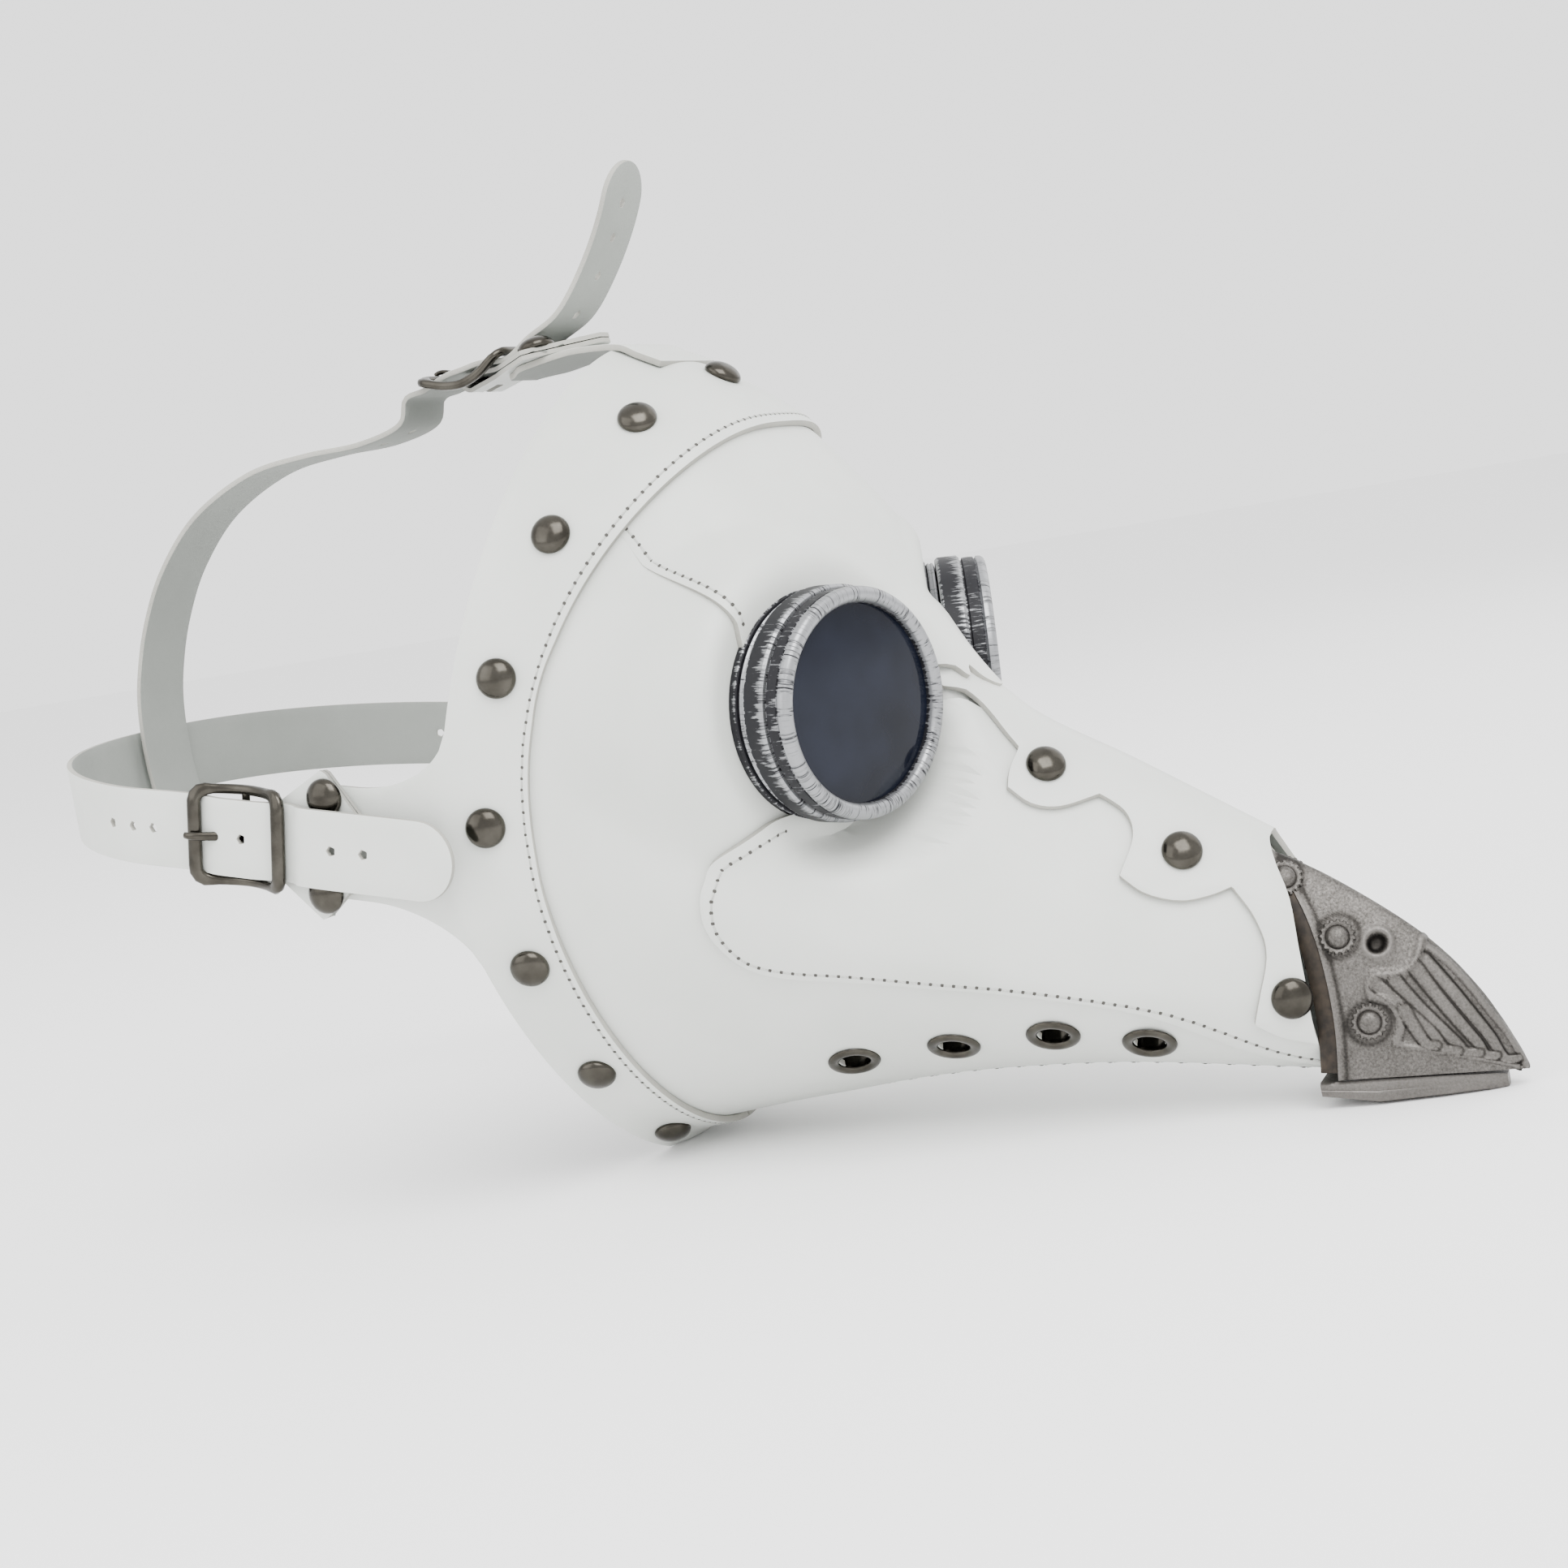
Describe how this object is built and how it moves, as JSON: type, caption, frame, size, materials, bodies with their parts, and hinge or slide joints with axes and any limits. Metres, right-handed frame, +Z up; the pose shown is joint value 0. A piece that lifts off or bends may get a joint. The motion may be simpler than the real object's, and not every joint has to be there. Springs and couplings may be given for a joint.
{
  "type": "plague doctor mask",
  "caption": "Stitched leather face mask with a long curved beak tipped by a cast metal bill, round goggles with screw-on lens rings, and a buckled head harness.",
  "frame": {"origin": "on the surface the mask stands on, under the middle of its bounding box", "axes": "+Z up, -Y along the beak, +X to the wearer's left"},
  "size_m": [0.1876, 0.4014, 0.2732],
  "materials": {
    "white_leather": "semi-gloss painted leather with fine creases and raw cut edges",
    "gunmetal": "polished dark gunmetal plating",
    "cast_pewter": "antiqued pewter, dark in the recesses and burnished on the ridges",
    "black_goggle_metal": "black with silver dry-brushed edges",
    "smoked_lens": "polished, almost opaque smoked blue-black"
  },
  "bodies": {
    "root": {"forehead_panel": "white_leather", "face_flange": "white_leather", "ridge_overlay": "white_leather", "upper_bill": "cast_pewter", "lower_bill": "cast_pewter", "rivet_crown": "gunmetal", "cheek_panel_right": "white_leather", "beak_side_panel_right": "white_leather", "eyecup_right": "black_goggle_metal", "clamp_ring_right": "black_goggle_metal", "rivet_flange_right_1": "gunmetal", "rivet_flange_right_2": "gunmetal", "rivet_flange_right_3": "gunmetal", "rivet_flange_right_4": "gunmetal", "rivet_flange_right_5": "gunmetal", "rivet_flange_right_6": "gunmetal", "rivet_flange_right_7": "gunmetal", "rivet_beak_right_1": "gunmetal", "rivet_beak_right_2": "gunmetal", "rivet_beak_right_3": "gunmetal", "eyelet_right_1": "gunmetal", "eyelet_right_2": "gunmetal", "eyelet_right_3": "gunmetal", "eyelet_right_4": "gunmetal", "buckle_tab_right": "white_leather", "tab_rivets_right": "gunmetal", "cheek_panel_left": "white_leather", "beak_side_panel_left": "white_leather", "eyecup_left": "black_goggle_metal", "clamp_ring_left": "black_goggle_metal", "rivet_flange_left_1": "gunmetal", "rivet_flange_left_2": "gunmetal", "rivet_flange_left_3": "gunmetal", "rivet_flange_left_4": "gunmetal", "rivet_flange_left_5": "gunmetal", "rivet_flange_left_6": "gunmetal", "rivet_flange_left_7": "gunmetal", "rivet_beak_left_1": "gunmetal", "rivet_beak_left_2": "gunmetal", "rivet_beak_left_3": "gunmetal", "eyelet_left_1": "gunmetal", "eyelet_left_2": "gunmetal", "eyelet_left_3": "gunmetal", "eyelet_left_4": "gunmetal", "buckle_tab_left": "white_leather", "tab_rivets_left": "gunmetal", "buckle_tab_top": "white_leather", "tab_rivets_top": "gunmetal", "back_strap": "white_leather", "top_strap": "white_leather"},
    "lens_carriage_right": {"lens_right": "smoked_lens"},
    "lens_ring_right": {"lens_ring_right": "black_goggle_metal"},
    "lens_carriage_left": {"lens_left": "smoked_lens"},
    "lens_ring_left": {"lens_ring_left": "black_goggle_metal"},
    "buckle_right": {"buckle_frame_right": "gunmetal"},
    "prong_right": {"buckle_prong_right": "gunmetal"},
    "buckle_left": {"buckle_frame_left": "gunmetal"},
    "prong_left": {"buckle_prong_left": "gunmetal"},
    "buckle_top": {"buckle_frame_top": "gunmetal"},
    "prong_top": {"buckle_prong_top": "gunmetal"}
  },
  "joints": [
    {"name": "lens_travel_right", "type": "slide", "parent": "root", "child": "lens_carriage_right", "axis": [-0.366, -0.9291, -0.0523], "range_m": [0, 0.006]},
    {"name": "lens_ring_turn_right", "type": "hinge", "parent": "lens_carriage_right", "child": "lens_ring_right", "pos_m": [-0.0418, -0.04245, 0.122], "axis": [-0.366, -0.9291, -0.0523], "range_deg": [0, 1080]},
    {"name": "lens_travel_left", "type": "slide", "parent": "root", "child": "lens_carriage_left", "axis": [0.366, -0.9291, -0.0523], "range_m": [0, 0.006]},
    {"name": "lens_ring_turn_left", "type": "hinge", "parent": "lens_carriage_left", "child": "lens_ring_left", "pos_m": [0.0418, -0.04245, 0.122], "axis": [0.366, -0.9291, -0.0523], "range_deg": [0, 1080]},
    {"name": "buckle_rock_right", "type": "hinge", "parent": "root", "child": "buckle_right", "pos_m": [-0.0855, 0.10515, 0.1116], "axis": [0, -0.2008, 0.9796], "range_deg": [-0.5, 0.5]},
    {"name": "prong_lift_right", "type": "hinge", "parent": "buckle_right", "child": "prong_right", "pos_m": [-0.0855, 0.10515, 0.1116], "axis": [0, -0.2008, 0.9796], "range_deg": [0, 20]},
    {"name": "buckle_rock_left", "type": "hinge", "parent": "root", "child": "buckle_left", "pos_m": [0.0855, 0.10515, 0.1116], "axis": [0, 0.2008, -0.9796], "range_deg": [-0.5, 0.5]},
    {"name": "prong_lift_left", "type": "hinge", "parent": "buckle_left", "child": "prong_left", "pos_m": [0.0855, 0.10515, 0.1116], "axis": [0, 0.2008, -0.9796], "range_deg": [0, 20]},
    {"name": "buckle_rock_top", "type": "hinge", "parent": "root", "child": "buckle_top", "pos_m": [0, 0.05835, 0.2225], "axis": [1, 0, 0], "range_deg": [-0.5, 0.5]},
    {"name": "prong_lift_top", "type": "hinge", "parent": "buckle_top", "child": "prong_top", "pos_m": [0, 0.05835, 0.2225], "axis": [1, 0, 0], "range_deg": [0, 20]}
  ],
  "couplings": [
    {"joint": "lens_travel_right", "follows": "lens_ring_turn_right", "m_per_rad": 0.00031831},
    {"joint": "lens_travel_left", "follows": "lens_ring_turn_left", "m_per_rad": 0.00031831}
  ]
}
